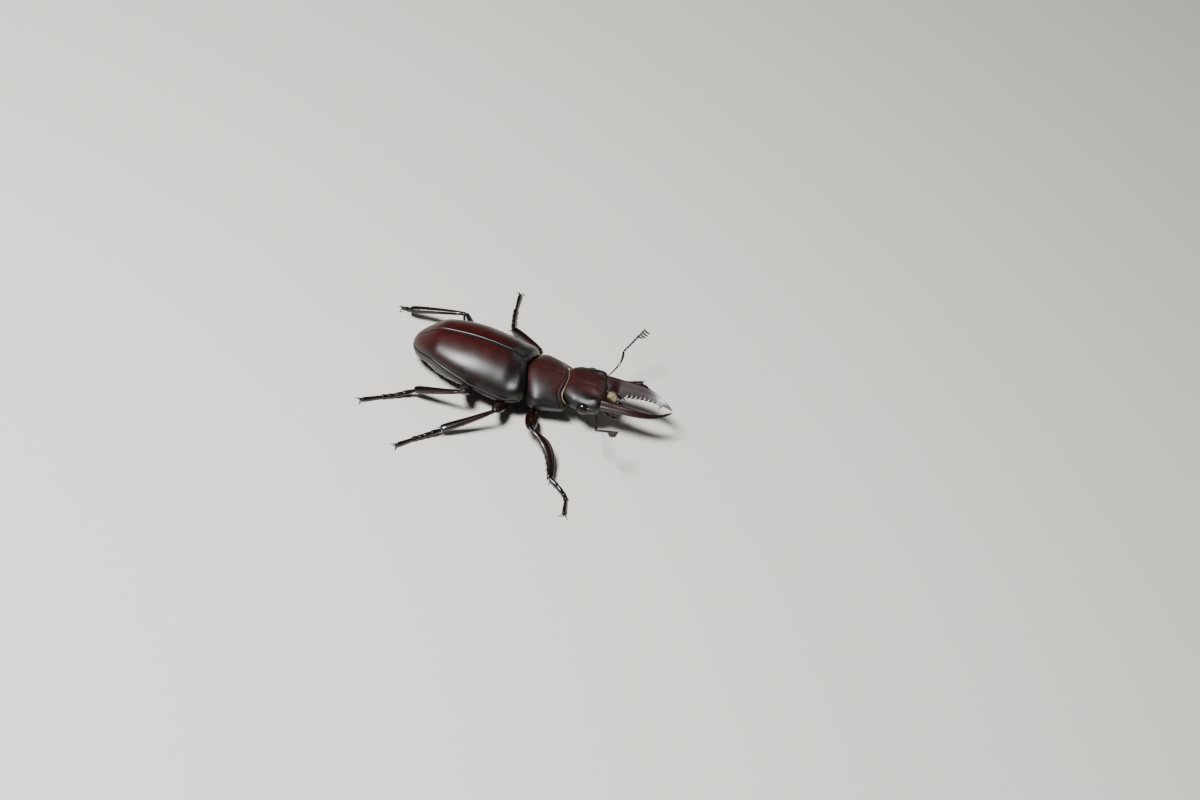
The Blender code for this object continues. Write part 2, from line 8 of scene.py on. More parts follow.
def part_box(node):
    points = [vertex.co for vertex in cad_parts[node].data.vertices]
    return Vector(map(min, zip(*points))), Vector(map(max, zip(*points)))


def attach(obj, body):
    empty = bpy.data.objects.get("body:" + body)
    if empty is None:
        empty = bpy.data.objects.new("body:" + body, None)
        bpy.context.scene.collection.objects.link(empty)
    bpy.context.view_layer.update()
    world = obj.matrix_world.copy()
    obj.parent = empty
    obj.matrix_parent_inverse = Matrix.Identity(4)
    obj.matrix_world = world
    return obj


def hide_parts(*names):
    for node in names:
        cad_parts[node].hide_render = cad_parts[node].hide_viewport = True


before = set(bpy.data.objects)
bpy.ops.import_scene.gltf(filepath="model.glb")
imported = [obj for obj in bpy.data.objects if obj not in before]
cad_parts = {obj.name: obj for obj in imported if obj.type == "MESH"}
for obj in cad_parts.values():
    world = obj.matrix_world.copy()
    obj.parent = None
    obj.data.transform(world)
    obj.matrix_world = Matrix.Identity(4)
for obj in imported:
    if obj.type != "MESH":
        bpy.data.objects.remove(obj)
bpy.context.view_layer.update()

# WING CASES.  The elytra are the hardened fore wings, two vaulted shells of dark
# chitin that meet in a raised seam down the back.  Each hangs on a hinge beside the
# scutellum and ends in a rolled side edge with a narrow gutter above it.

MM = 0.001
left_low, left_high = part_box("coxa_middle_left")
right_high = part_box("coxa_middle_right")[1]
WAIST = Vector(((left_low.x + right_high.x) / 2,
                (left_low.y + left_high.y) / 2 - 2.2 * MM, 0.0))
ELYTRA_LENGTH = 19.5            # this and the lengths that follow are in millimetres
ELYTRA_HALF_WIDTH = 7.0
ELYTRA_RISE = 5.0
SHELL_THICKNESS = 0.35
SHOULDER_REACH = 1.7
WIDEST_Y = 5.0
MARGIN_Z = 4.8
OUTER_SHARE = 0.8               # of an elytron's sheet; the rest is folded under


def mix(a, b, t):
    return a + (b - a) * t


def smooth(low, high, value):
    t = max(0.0, min(1.0, (value - low) / (high - low)))
    return t * t * (3.0 - 2.0 * t)


def hump(distance, width):
    """A bell of height 1 at distance 0, about as wide as width on each side."""
    return math.exp(-(distance / width) ** 2)


def oval(angle, across, above, below, squareness):
    c, s = math.cos(angle), math.sin(angle)
    reach = (abs(c) ** squareness + abs(s) ** squareness) ** (-1.0 / squareness)
    return c * reach * across, s * reach * (above if s > 0.0 else below)


def rounded(along, squareness):
    return (1.0 - min(1.0, abs(along)) ** squareness) ** (1.0 / squareness)


def uneven(x, y, z, size):
    """Slow irregularity of a grown surface, from -1 to 1."""
    return noise.noise(Vector((x, y, z)) / size)


def at_waist(point):
    """Millimetres from the waist, on the floor under it, to the frame's metres."""
    return WAIST + Vector(point) * MM


def new_shell():
    return {"points": [], "tones": [], "faces": []}


def add_sheet(shell, shape, rows, columns, place=at_waist):
    """A sheet shape(u, v) -> (x, y, z, tone), with u across and v along it."""
    first = len(shell["points"])
    for row in range(rows + 1):
        for column in range(columns + 1):
            *point, tone = shape(column / columns, row / rows)
            shell["points"].append(place(point))
            shell["tones"].append(tone)
    wide = columns + 1
    for row in range(rows):
        for column in range(columns):
            at = first + row * wide + column
            shell["faces"].append((at, at + 1, at + wide + 1, at + wide))


def add_loft(shell, shape, rings, sides, place=at_waist):
    """A closed body shape(t, angle) -> (x, y, z, tone), capped at both ends."""
    first = len(shell["points"])
    for ring in range(rings + 1):
        for side in range(sides):
            *point, tone = shape(ring / rings, math.tau * side / sides)
            shell["points"].append(place(point))
            shell["tones"].append(tone)
    for ring in range(rings):
        for side in range(sides):
            after = (side + 1) % sides
            low, high = first + ring * sides, first + (ring + 1) * sides
            shell["faces"].append((low + side, low + after, high + after, high + side))
    for start, turn in ((first, -1), (first + rings * sides, 1)):
        loop = list(range(start, start + sides))[::turn]
        middle = len(shell["points"])
        loop_points = [shell["points"][index] for index in loop]
        shell["points"].append(sum(loop_points, Vector()) / sides)
        shell["tones"].append(shell["tones"][start])
        for index in range(sides):
            shell["faces"].append((loop[index], loop[(index + 1) % sides], middle))


def add_piece(name, shell, material, replaced=()):
    """Makes the shell an object of the model that stands for CAD nodes."""
    mesh = bpy.data.meshes.new(name)
    mesh.from_pydata([tuple(point) for point in shell["points"]], [], shell["faces"])
    tone = mesh.attributes.new("tone", 'FLOAT', 'POINT')
    tone.data.foreach_set("value", shell["tones"])
    mesh.shade_smooth()
    mesh.materials.append(material)
    piece = bpy.data.objects.new(name, mesh)
    bpy.context.scene.collection.objects.link(piece)
    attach(piece, "root")
    if replaced:
        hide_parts(*replaced)
    return piece


def linear(hex_colour):
    """An sRGB hex colour as linear red, green, blue and alpha."""
    parts = [int(hex_colour[at:at + 2], 16) / 255.0 for at in (1, 3, 5)]
    return [part / 12.92 if part <= 0.04045 else ((part + 0.055) / 1.055) ** 2.4
            for part in parts] + [1.0]


def add_node(tree, kind, settings, inputs):
    """Adds a node; an input is given as a plain value or as the socket it links to."""
    made = tree.nodes.new(kind)
    for key, value in settings.items():
        setattr(made, key, value)
    for key, value in inputs.items():
        if isinstance(value, bpy.types.NodeSocket):
            tree.links.new(value, made.inputs[key])
        else:
            made.inputs[key].default_value = value
    return made


def cuticle(name, dark, glow, grain_mm, grain_depth, roughness):
    """Tanned chitin: pigment in a clear horny layer, with a fine grain grown in it.

    The tone of a point says how much of the glow colour shows through the dark one.
    On the wing cases, prothorax and head the tone is painted light: the red glow where
    the light falls on top, and painted shade toward the sides.
    """
    material = bpy.data.materials.new(name)
    material.use_nodes = True
    tree = material.node_tree
    surface = tree.nodes["Principled BSDF"]
    place = add_node(tree, "ShaderNodeTexCoord", {}, {}).outputs["Object"]
    tone = add_node(tree, "ShaderNodeAttribute", {"attribute_name": "tone"}, {})
    clouds = add_node(tree, "ShaderNodeTexNoise", {},
                      {"Vector": place, "Scale": 1.0 / (1.6 * MM), "Detail": 4.0})
    patchy = add_node(tree, "ShaderNodeMapRange", {},
                      {"Value": clouds.outputs["Fac"], "From Min": 0.3,
                       "From Max": 0.7, "To Min": 0.55, "To Max": 1.25})
    shown = add_node(tree, "ShaderNodeMath",
                     {"operation": 'MULTIPLY', "use_clamp": True},
                     {0: patchy.outputs["Result"], 1: tone.outputs["Fac"]})
    colour = add_node(tree, "ShaderNodeMix", {"data_type": 'RGBA'},
                      {"Factor": shown.outputs[0], "A": linear(dark),
                       "B": linear(glow)})
    tree.links.new(colour.outputs["Result"], surface.inputs["Base Color"])
    pits = add_node(tree, "ShaderNodeTexVoronoi", {"feature": 'F1'},
                    {"Vector": place, "Scale": 1.0 / (grain_mm * MM)})
    grain = add_node(tree, "ShaderNodeTexNoise", {},
                     {"Vector": place, "Scale": 1.0 / (0.7 * grain_mm * MM),
                      "Detail": 2.0})
    depth = add_node(tree, "ShaderNodeMath", {"operation": 'MULTIPLY_ADD'},
                     {0: grain.outputs["Fac"], 1: 0.8, 2: pits.outputs["Distance"]})
    bump = add_node(tree, "ShaderNodeBump", {},
                    {"Height": depth.outputs[0], "Strength": 1.0,
                     "Distance": grain_depth * MM})
    tree.links.new(bump.outputs["Normal"], surface.inputs["Normal"])
    worn = add_node(tree, "ShaderNodeMapRange", {},
                    {"Value": clouds.outputs["Fac"], "To Min": roughness - 0.05,
                     "To Max": roughness + 0.05})
    tree.links.new(worn.outputs["Result"], surface.inputs["Roughness"])
    surface.inputs["IOR"].default_value = 1.56
    return material


# Tanned chitin, grown pitted: a satin grey shine over a deep red-brown.  Where the
# red-brown shows is painted light: red on the top and tail, where the light falls, and
# black toward the edges as painted shade.  The real pits are about 0.06 mm apart; they
# are drawn 0.10 mm apart so that the grain shows.
WING_CHITIN = cuticle("fine_grained_red_brown_chitin", "#030203", "#2e0503",
                      grain_mm=0.10, grain_depth=0.008, roughness=0.36)


def trunk_width(y):
    if y > WIDEST_Y:
        t = (y - WIDEST_Y) / (ELYTRA_LENGTH - WIDEST_Y)
        return math.sqrt(max(0.0, 1.0 - t * t))
    return 1.0 - 0.09 * ((WIDEST_Y - y) / WIDEST_Y) ** 2.5


def vault_rise(y):
    """Height of the vault over the side bead."""
    if y > WIDEST_Y:
        return ELYTRA_RISE * trunk_width(y) * (1.0 - 0.18 * smooth(5.0, 14.0, y))
    return ELYTRA_RISE * (1.0 - 0.12 * ((WIDEST_Y - y) / WIDEST_Y) ** 2)


def bead_z(y):
    """Height of the side bead, which climbs behind the middle and drops at the tail."""
    climb = 0.9 * smooth(4.0, 13.5, y) + 0.4 * (1.0 - smooth(-1.0, 2.0, y))
    return 4.1 + climb - 1.5 * smooth(15.0, ELYTRA_LENGTH, y)


def at_hind(point):
    """As at_waist, turned a little with the hind body about the tail."""
    x, y, z = point
    return at_waist((x - 0.5 * (1.0 - y / ELYTRA_LENGTH), y, z))


def elytron_point(side, across, along):
    """Across runs from the seam (0) to the side bead (OUTER_SHARE) and under."""
    over = min(1.0, across / OUTER_SHARE)
    angle = math.radians(90) * (1.0 - over)
    y = mix(0.2, ELYTRA_LENGTH, mix(along, math.sin(math.radians(90) * along), 0.75))
    width = ELYTRA_HALF_WIDTH * trunk_width(y)
    rise = vault_rise(y)
    from_seam = over * width * 1.3
    from_edge = (1.0 - over) * width * 1.3
    swell = 0.06 * hump(from_seam, 0.14) - 0.03 * hump(from_seam - 0.34, 0.14)
    swell += 0.13 * hump(from_edge, 0.15) - 0.16 * hump(from_edge - 0.42, 0.18)
    swell += 0.20 * hump(from_edge - 2.6, 1.3) * hump(y - 1.7, 1.2)
    swell *= smooth(0.0, 0.6, rise)
    squareness = mix(1.88, 2.05, smooth(2.0, 9.0, y))
    x, z = oval(angle, width + swell, rise + swell, 0.0, squareness)
    x = max(0.01, x)
    under = max(0.0, across - OUTER_SHARE) / 0.2
    fold = 0.15 + 0.30 * smooth(0.5, 4.0, y)
    fold += 0.85 * smooth(5.0, 13.0, y) * smooth(0.0, 5.0, width)
    x -= min(0.12, 0.2 * width) * smooth(0.0, 0.15, under)
    x -= min(0.9, 0.5 * width) * under ** 2.5
    z -= fold * math.sin(math.radians(90) * under)
    z += 0.03 * uneven(side * x, y, z, 2.5)
    front = 1.0 - smooth(0.0, 0.3, along)
    turned_down = 1.0 - smooth(0.0, 0.05, along)
    y -= SHOULDER_REACH * front * math.cos(angle)
    x *= 1.0 - 0.05 * (1.0 - smooth(0.0, 0.08, along)) * math.cos(angle) ** 2
    y += 0.5 * hump(math.degrees(angle), 14.0) * (1.0 - smooth(0.0, 0.12, along))
    z += bead_z(y) - 1.1 * turned_down ** 2 * math.sin(angle) ** 0.5
    z -= 0.5 * (1.0 - smooth(0.3, 3.2, y)) * math.sin(angle)
    # Painted light: the red-brown shows on the back beside the seam and on the tail,
    # where the light falls, and goes black as painted shade toward the flank and bead.
    # It also goes dark in a thin strip along the seam and on the turned-down front.
    back_painted_light = smooth(0.1, 0.7, from_seam) * (1.0 - 0.85 * smooth(1.6, 5.2, from_seam))
    tail_painted_light = 0.7 * smooth(9.0, 15.0, y) * smooth(0.5, 2.0, from_edge)
    tone = max(back_painted_light, tail_painted_light) * smooth(0.02, 0.25, along)
    return side * x, y, z, tone * smooth(0.1, 1.0, from_edge)


for side_name, side in (("left", 1), ("right", -1)):
    wing_case = new_shell()
    add_sheet(wing_case, lambda u, v: elytron_point(side, u, v), 150, 110, at_hind)
    name = "elytron_" + side_name
    piece = add_piece(name + "_shell", wing_case, WING_CHITIN,
                      [name])
    thickness = piece.modifiers.new("thickness", 'SOLIDIFY')
    thickness.thickness = SHELL_THICKNESS * MM
    thickness.offset = side

# SCUTELLUM.  The shield of the middle thorax shows as a small tongue between the
# roots of the wing cases.  It is black, pitted, and lower than they are.

scutellum = new_shell()


def scutellum_point(t, angle):
    along = -math.cos(math.pi * t)
    half = 1.2 * rounded(along, 2.4) * mix(1.0, 0.6, t)
    x, z = oval(angle, half, 0.36, 0.3, 2.0)
    y = mix(0.2, 2.5, (1.0 + along) / 2)
    edge = 0.06 * smooth(0.7, 1.0, abs(math.cos(angle)))
    return x, y, z * rounded(along, 2.4) + 8.05 + 0.20 * y + edge, 0.15


add_loft(scutellum, scutellum_point, 24, 36, at_hind)
add_piece("scutellum_shield", scutellum, WING_CHITIN,
          ["scutellum"])

# BREAST AND BELLY.  Under the wing cases the middle and hind thorax are welded into
# one plate, and the abdomen shows five rings.  They are polished black-brown chitin
# joined by softer seams, which show as narrow grooves.

# Tanned chitin, grown smooth: near black with a red-brown depth and a clean shine.
# It has no pits, only a slow unevenness about 0.3 mm across.
POLISHED_CHITIN = cuticle("polished_black_brown_chitin", "#050303", "#200705",
                          grain_mm=0.30, grain_depth=0.008, roughness=0.28)
TRUNK_START_Y = 0.3
TRUNK_LENGTH = ELYTRA_LENGTH - 1.87
THORAX_END_Y = 7.4
BELLY_DEPTH = 3.5
BELLY_RINGS = [10.1, 12.4, 14.4, 16.1]


def trunk_z(y):
    return MARGIN_Z - 0.8 * smooth(WIDEST_Y, ELYTRA_LENGTH, y) - 0.25


def trunk_point(y, along, angle):
    under = smooth(0.0, 0.3, -math.sin(angle))
    end = (1.0 - min(1.0, abs(along)) ** (4.5 if along > 0 else 7)) ** (1.0 / 2.5)
    fuller = 0.15 * smooth(8.0, 11.0, y)
    half = ELYTRA_HALF_WIDTH * trunk_width(y) - mix(0.85, 0.45 - fuller, under)
    rise = vault_rise(y) + bead_z(y) - trunk_z(y) - 1.1
    depth = BELLY_DEPTH * math.sqrt(trunk_width(y))
    x, z = oval(angle, max(half, 0.3), max(rise, 0.2), depth,
                mix(2.0, 2.15 + fuller, under))
    return x * end, z * end, under


def breast_point(t, angle):
    y = mix(TRUNK_START_Y, THORAX_END_Y - 0.1, t)
    along = 1.0 - 2.0 * (y - TRUNK_START_Y) / TRUNK_LENGTH
    x, z, under = trunk_point(y, along, angle)
    groove = 0.10 * hump(x, 0.18) * under * smooth(2.0, 3.5, y)
    side_seam = 0.09 * hump(abs(x) - mix(5.5, 4.7, t), 0.16) * under
    front_seam = 0.12 * hump(y - 3.1 - 0.10 * abs(x), 0.16) * under
    rim = 0.15 * hump(1.0 - t, 0.04)
    scale = 1.0 - (groove + side_seam + front_seam + rim) / 3.5
    return x * scale, y, z * scale + trunk_z(y), 0.25


breast = new_shell()
add_loft(breast, breast_point, 80, 180, at_hind)
add_piece("pterothorax_plate", breast, POLISHED_CHITIN,
          ["pterothorax"])


def belly_point(t, angle):
    y = mix(THORAX_END_Y + 0.05, ELYTRA_LENGTH - 1.6, math.sin(math.radians(90) * t))
    along = 1.0 - 2.0 * (y - TRUNK_START_Y) / TRUNK_LENGTH
    x, z, under = trunk_point(y, along, angle)
    seam = 0.0
    for ring_y in BELLY_RINGS:
        gap = y - ring_y - 0.06 * abs(x)
        seam += 0.10 * hump(gap, 0.10) - 0.06 * hump(gap + 0.35, 0.3)
    rim = 0.15 * hump(t, 0.03)
    scale = 1.0 - (seam * under + rim) / 3.0
    return x * scale, y, z * scale + trunk_z(y), 0.25


belly = new_shell()
add_loft(belly, belly_point, 160, 160, at_hind)
add_piece("abdomen_rings", belly, POLISHED_CHITIN, ["abdomen"])

# PROTHORAX.  The fore thorax is one hard ring: a broad pitted shield above, with a
# rolled edge all round and its corners drawn forward past the neck, and a smooth
# plate below that holds the fore legs.

FRONT_TURN = Euler((math.radians(-3.0), 0.0, math.radians(4.0))).to_matrix()
PRONOTUM_LENGTH = 7.7
PRONOTUM_HALF_WIDTH = 6.5
PRONOTUM_RISE = 3.5
PRONOTUM_DEPTH = 2.8
PRONOTUM_Z = 4.0
PRONOTUM_HORN = 1.1


def at_front(point):
    """As at_waist, turned with the fore body about the waist."""
    pivot = Vector((0.0, 0.0, MARGIN_Z))
    return at_waist(FRONT_TURN @ (Vector(point) - pivot) + pivot)


def pronotum_point(t, angle):
    rim_at = 0.84
    out = min(1.0, t / rim_at)
    along = mix(-1.0, 0.95, (1.0 - math.cos(math.pi * out ** 0.9)) / 2)
    y = mix(-0.1, -PRONOTUM_LENGTH, (1.0 + along) / 2)
    s = -y / PRONOTUM_LENGTH
    width = PRONOTUM_HALF_WIDTH * (mix(1.0, 0.82, smooth(0.35, 1.0, s))
                                   * mix(0.91, 1.0, smooth(0.0, 0.4, s)))
    end = rounded(along, 6.5 if along > 0 else 4.0)
    corner = rounded(along, 7.0 if along > 0 else 2.3)
    rise = PRONOTUM_RISE * mix(1.0, 0.88, smooth(0.0, 1.0, along))
    off_edge = math.degrees(math.asin(max(-1.0, min(1.0, math.sin(angle)))))
    edge = 0.14 * hump(off_edge, 5.0) - 0.12 * hump(off_edge - 13.0, 6.0)
    edge -= 0.10 * hump(off_edge + 14.0, 8.0)
    lip = 0.07 * hump(along - 0.86, 0.05) + 0.06 * hump(along + 0.97, 0.03)
    lip -= 0.05 * hump(along - 0.74, 0.05)
    swell = edge * smooth(-1.0, -0.8, along) + lip
    above = smooth(0.0, 0.5, math.sin(angle))
    x, z = oval(angle, width + swell, rise + swell, PRONOTUM_DEPTH + swell,
                mix(2.2, 1.9, above))
    z -= 0.07 * hump(x, 0.45) * above * (1.0 - along ** 2)
    x, z = x * corner, z * end
    y -= PRONOTUM_HORN * smooth(0.2, 0.9, along) * abs(math.cos(angle)) ** 5
    y += 0.55 * smooth(0.3, 0.9, along) * hump(abs(x) - 3.9, 1.2) * above
    y -= 0.20 * smooth(0.3, 0.9, along) * hump(x, 1.6) * above
    inside = max(0.0, t - rim_at) / (1.0 - rim_at)
    if t > rim_at:
        shrink = mix(1.0, 0.0, smooth(0.3, 1.0, inside)) * mix(
            1.0, 0.88, smooth(0.0, 0.3, inside))
        x, z = x * shrink, z * shrink
        y += 1.3 * smooth(0.05, 0.5, inside)
    z += 0.025 * uneven(x, y, z, 2.0)
    # Painted light: the tone is lit red in the middle of the shield's top and painted
    # shade toward its sides, ends and underside.
    tone = above * (1.0 - smooth(0.75, 1.0, abs(along)))
    return x, y, z + PRONOTUM_Z, tone * (1.0 - 0.85 * smooth(1.8, 5.6, abs(x)))


# The same chitin with coarser pits, about 0.09 mm apart and drawn 0.13 mm apart, so
# that its shine is broader and breaks up into points.
PITTED_CHITIN = cuticle("pitted_red_brown_chitin", "#040203", "#2a0503",
                        grain_mm=0.13, grain_depth=0.012, roughness=0.46)
prothorax = new_shell()
add_loft(prothorax, pronotum_point, 150, 200, at_front)
add_piece("prothorax_ring", prothorax, PITTED_CHITIN, ["prothorax"])

# HEAD.  A broad, low box of pitted chitin, hollowed above behind the jaws.  Its front
# corners swell to hold the jaws' joints, and a narrow ridge of it, grown in one with
# the head, crosses the side in front of and over each eye.

HEAD_BACK_Y = -6.7
HEAD_FRONT_Y = -14.3
HEAD_HALF_WIDTH = 5.1
HEAD_RISE = 1.9
HEAD_DEPTH = 2.2
HEAD_Z = 5.2


def head_point(t, angle):
    along = -math.cos(math.pi * t)
    y = mix(HEAD_BACK_Y, HEAD_FRONT_Y, (1.0 + along) / 2)
    s = (-y - PRONOTUM_LENGTH) / 6.6
    width = HEAD_HALF_WIDTH * mix(0.88, 1.0, smooth(0.1, 0.7, s))
    width += 0.18 * hump(y + 9.3, 0.8)
    end = rounded(along, 7.0 if along > 0 else 2.6)
    x, z = oval(angle, width, HEAD_RISE, HEAD_DEPTH, 2.6)
    x, z = x * end, z * end
    above = smooth(0.0, 0.4, math.sin(angle))
    z -= 0.40 * smooth(-10.0, -12.6, y) * hump(abs(x) - 2.6, 1.0) * above
    z -= 0.25 * smooth(-12.4, -14.2, y) * hump(x, 1.6) * above
    z += 0.12 * smooth(-9.0, -11.5, y) * hump(x, 0.5) * above
    z += 0.28 * hump(abs(x) - 3.9, 0.7) * hump(y + 13.2, 1.0) * above
    y -= 0.25 * hump(x, 1.4) * smooth(0.8, 1.0, along)
    below = smooth(0.0, 0.4, -math.sin(angle))
    z += 0.12 * (hump(abs(x) - 2.1, 0.16) * below * smooth(-9.0, -11.0, y))
    z += 0.12 * hump(y + 12.2, 0.16) * below * hump(x, 2.2)
    z += 0.03 * uneven(x, y, z, 1.6)
    # Painted light: the tone is lit red in the middle of the head's top and painted
    # shade toward its sides, front edge and underside.
    tone = above * smooth(-14.4, -13.4, y) * (1.0 - smooth(1.6, 4.2, abs(x)))
    return x, y, z + HEAD_Z, tone


head = new_shell()
add_loft(head, head_point, 130, 180, at_front)
for side in (1, -1):
    def canthus_point(t, angle):
        along = -math.cos(math.pi * t)
        x, z = oval(angle, 0.62, 0.17, 0.17, 2.0)
        end = rounded(along, 2.0)
        y = mix(-13.9, -10.9, (1.0 + along) / 2)
        x = 4.72 + 0.10 * hump(y + 12.3, 0.7) + x * end
        return side * x, y, 5.62 - 0.10 * (y + 12.0) + z * end, 0.1
    add_loft(head, canthus_point, 24, 28, at_front)
add_piece("head_capsule", head, PITTED_CHITIN, ["head"])

# EYES.  Each compound eye is a black bead of some thousand hexagonal lenses, set in
# the side of the head half under its ridge.

EYE_AT = (4.72, -11.4, 5.0)
EYE_RADII = (1.02, 1.18, 1.08)

# Corneal chitin, clear over black pigment: a wet shine, held low so that the bead
# stays black.  The real lenses are about 0.03 mm apart; they are drawn 0.07 mm
# apart so that they show.
CORNEA = bpy.data.materials.new("corneal_chitin_black")
CORNEA.use_nodes = True
cornea_surface = CORNEA.node_tree.nodes["Principled BSDF"]
eye_place = add_node(CORNEA.node_tree, "ShaderNodeTexCoord", {}, {}).outputs["Object"]
lenses = add_node(CORNEA.node_tree, "ShaderNodeTexVoronoi",
                  {"feature": 'SMOOTH_F1'},
                  {"Vector": eye_place, "Scale": 1.0 / (0.07 * MM),
                   "Randomness": 0.35, "Smoothness": 0.4})
lens_bump = add_node(CORNEA.node_tree, "ShaderNodeBump", {"invert": True},
                     {"Height": lenses.outputs["Distance"], "Strength": 0.4,
                      "Distance": 0.006 * MM})
eye_depth = add_node(CORNEA.node_tree, "ShaderNodeMix", {"data_type": 'RGBA'},
                     {"Factor": lenses.outputs["Distance"], "A": linear("#0a0809"),
                      "B": linear("#1d1512")})
CORNEA.node_tree.links.new(eye_depth.outputs["Result"],
                           cornea_surface.inputs["Base Color"])
CORNEA.node_tree.links.new(lens_bump.outputs["Normal"],
                           cornea_surface.inputs["Normal"])
cornea_surface.inputs["Roughness"].default_value = 0.16
cornea_surface.inputs["Specular IOR Level"].default_value = 0.3
cornea_surface.inputs["IOR"].default_value = 1.56

for side_name, side in (("left", 1), ("right", -1)):
    def eye_point(t, angle):
        around = rounded(-math.cos(math.pi * t), 2.2)
        x = EYE_AT[0] + EYE_RADII[0] * around * math.cos(angle)
        y = EYE_AT[1] - EYE_RADII[1] * math.cos(math.pi * t)
        return side * x, y, EYE_AT[2] + EYE_RADII[2] * around * math.sin(angle), 0.0
    eye = new_shell()
    add_loft(eye, eye_point, 40, 48, at_front)
    add_piece("eye_%s_bead" % side_name, eye, CORNEA, ["eye_" + side_name])

# JAWS.  The male's mandibles are solid horns of very hard chitin, hinged in the
# corners of the head.  Each has a keel along its back, an inner face that slopes down
# to a row of eight small teeth, and one long tooth near the root, all grown as one.

JAW_ROOT_Y = -14.6
JAW_LENGTH = 11.9
JAW_Z = 5.5
TOOTH_COUNT = 8
SMALL_TEETH = [(mix(0.32, 0.77, n / (TOOTH_COUNT - 1)),    # place along the jaw,
                mix(0.34, 0.20, n / (TOOTH_COUNT - 1)),    # length and
                mix(0.021, 0.017, n / (TOOTH_COUNT - 1)))  # spread along the jaw
               for n in range(TOOTH_COUNT)]

# Dense tanned chitin, worn smooth by use: dark maroon that goes black at the tip and
# teeth, with a grey shine on the inner face.  Its pits, about 0.05 mm apart, are
# drawn 0.12 mm apart so that they show.
JAW_CHITIN = cuticle("polished_maroon_chitin", "#040203", "#200405",
                     grain_mm=0.12, grain_depth=0.006, roughness=0.34)


def limb_frame(start, end):
    heading = (end - start).normalized()
    across = heading.cross(Vector((0, 0, 1))).normalized()
    turn = Matrix((across, across.cross(heading), heading)).transposed()
    return turn, (end - start).length


def add_thorn(shell, root, tip, radius, bend=Vector(), place=at_waist):
    """A hollow-sided thorn that tapers from root to a point, bent sideways."""
    turn, length = limb_frame(root, tip)

    def point(t, angle):
        wide = radius * (1.0 - t) ** 0.8 + 0.008
        here = root + turn @ Vector((wide * math.cos(angle), wide * math.sin(angle),
                                     length * t)) + bend * math.sin(math.pi * t)
        return here.x, here.y, here.z, 0.2
    add_loft(shell, point, 12, 12, place)


def jaw_point(side, t, angle):
    width = 0.35 + 3.1 * (1.0 - t ** 1.9)
    thick = 0.35 + 1.15 * (1.0 - t ** 2.0) + 0.5 * hump(t, 0.15)
    outer = 4.30 * (1.0 - 0.92 * t ** 4.0)
    x, z = oval(angle, width / 2, thick / 2, thick / 2, 2.1)
    inner = smooth(0.2, 1.0, -math.cos(angle))
    z *= mix(1.0, 0.50, inner)
    tip = 1.0 - smooth(0.72, 0.98, t)
    keel = 0.20 * hump(math.degrees(angle) - 62.0, 12.0) * tip
    dip = 0.14 * hump(math.degrees(angle) - 34.0, 12.0) * tip
    drop = mix(0.80, 0.50, smooth(0.3, 0.75, t)) * smooth(0.03, 0.18, t) * tip
    z += keel - dip - drop * inner
    crest = 0.40 * width / 2
    if math.sin(angle) > 0.0 and x < crest:
        slope = (crest - x) / (crest + width / 2)
        z = mix(z, mix(thick / 2 + 0.1 * tip, -drop, slope), 0.8)
    bite = 0.0
    for place, length, spread in SMALL_TEETH:
        bite = max(bite, length * max(0.0, 1.0 - abs(t - place) / spread) ** 1.15)
    x -= bite * hump(math.degrees(angle) - 180.0, 26.0)
    closing = math.sqrt(max(0.0, 1.0 - smooth(0.97, 1.0, t) ** 2))
    middle = outer - width / 2
    y = JAW_ROOT_Y + 0.5 * (1.0 - smooth(0.0, 0.06, t)) - JAW_LENGTH * t
    height = JAW_Z + 0.25 * math.sin(math.pi * min(1.0, 1.2 * t)) - 0.1 * t
    tone = (1.0 - smooth(0.55, 0.85, t)) * (1.0 - 0.7 * inner)
    return side * (middle + x * closing), y, z * closing + height, tone


for side_name, side in (("left", 1), ("right", -1)):
    jaw = new_shell()
    add_loft(jaw, lambda t, angle: jaw_point(side, t, angle), 260, 72, at_front)
    add_thorn(jaw, Vector((side * 1.25, -16.7, 5.1)), Vector((side * 0.3, -18.2, 4.7)),
              0.34, Vector((side * 0.10, 0.0, 0.12)), at_front)
    add_piece("mandible_%s_horn" % side_name, jaw, JAW_CHITIN,
              ["mandible_" + side_name])

# MOUTH.  Between the jaws sits the upper lip, a small hairy flap; below it hang two
# pairs of jointed palps that taste the food.  All are thin glossy chitin.

lip = new_shell()


def lip_point(t, angle):
    along = -math.cos(math.pi * t)
    x, z = oval(angle, 1.15 * mix(1.0, 0.8, t), 0.32, 0.3, 2.3)
    end = rounded(along, 2.6)
    return x * end, mix(-14.1, -15.8, t), 5.15 - 0.35 * t + z * end, 0.9


add_loft(lip, lip_point, 24, 40, at_front)
add_piece("labrum_flap", lip, POLISHED_CHITIN, ["labrum"])


def rod_between(start, end, radii, squareness=3.0, tone=0.3, bow=Vector()):
    """A rounded joint from start to end, with its radius at the ends and middle."""
    start, end = Vector(start), Vector(end)
    heading = (end - start).normalized()
    across = heading.cross(Vector((0, 0, 1))).normalized()
    over = across.cross(heading)
    first, middle, last = radii

    def point(t, angle):
        along = -math.cos(math.pi * t)
        s = (1.0 + along) / 2
        radius = mix(first, middle, smooth(0, 0.5, s))
        if s > 0.5:
            radius = mix(middle, last, smooth(0.5, 1.0, s))
        radius *= rounded(along, squareness)
        spine = start.lerp(end, s) + bow * math.sin(math.pi * s)
        here = spine + (across * math.cos(angle) + over * math.sin(angle)) * radius
        return here.x, here.y, here.z, tone
    return point


